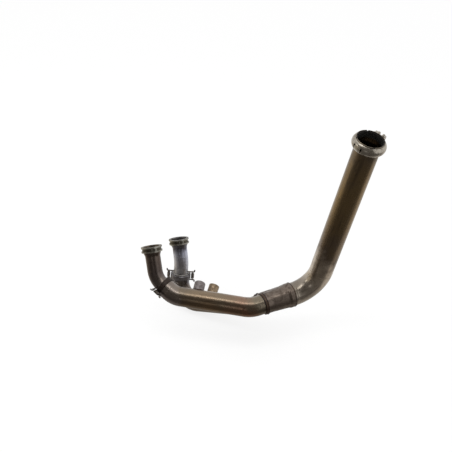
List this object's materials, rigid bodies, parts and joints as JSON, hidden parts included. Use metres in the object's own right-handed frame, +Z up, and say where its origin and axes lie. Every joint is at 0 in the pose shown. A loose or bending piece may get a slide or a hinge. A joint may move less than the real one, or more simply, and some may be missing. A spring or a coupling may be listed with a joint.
{
  "type": "motorcycle exhaust header",
  "caption": "Merging motorcycle exhaust header with sprung slip joints, sensor bosses, a collector, a long bent outlet pipe and a band clamp.",
  "frame": {"origin": "centre of the left port face", "axes": "+X from the ports towards the outlet pipe, +Y from the left port towards the right port's side, +Z up"},
  "size_m": [0.4906, 0.23, 0.5184],
  "materials": {
    "collar": "satin",
    "primary_left": "satin",
    "primary_right": "satin",
    "joint_dark": "satin",
    "down_pipe": "satin",
    "spring_steel": "satin",
    "boss_grey": "satin",
    "boss_tan": "satin",
    "weld_ring": "satin",
    "collector": "satin",
    "outlet_pipe": "satin",
    "seal": "matt",
    "clamp": "satin",
    "fastener": "satin"
  },
  "bodies": {
    "root": {"port_collar_left": "collar", "port_collar_right": "collar", "primary_pipe_left": "primary_left", "primary_pipe_right": "primary_right", "slip_ring_left": "joint_dark", "slip_ring_right": "joint_dark", "front_pipe": "down_pipe", "rear_pipe": "down_pipe", "primary_hooks_left": "joint_dark", "primary_hooks_right": "joint_dark", "pipe_hooks_left": "joint_dark", "pipe_hooks_right": "joint_dark", "spring_left_upper": "spring_steel", "spring_left_lower": "spring_steel", "spring_right_outer": "spring_steel", "spring_right_inner": "spring_steel", "sensor_boss_front": "boss_grey", "sensor_boss_rear": "boss_tan", "inlet_ring_front": "weld_ring", "inlet_ring_rear": "weld_ring", "collector": "collector", "outlet_pipe": "outlet_pipe", "sealing_sleeve": "seal", "clamp_band": "clamp", "clamp_bolt": "fastener", "clamp_washer": "fastener", "clamp_nut": "fastener"}
  },
  "joints": []
}
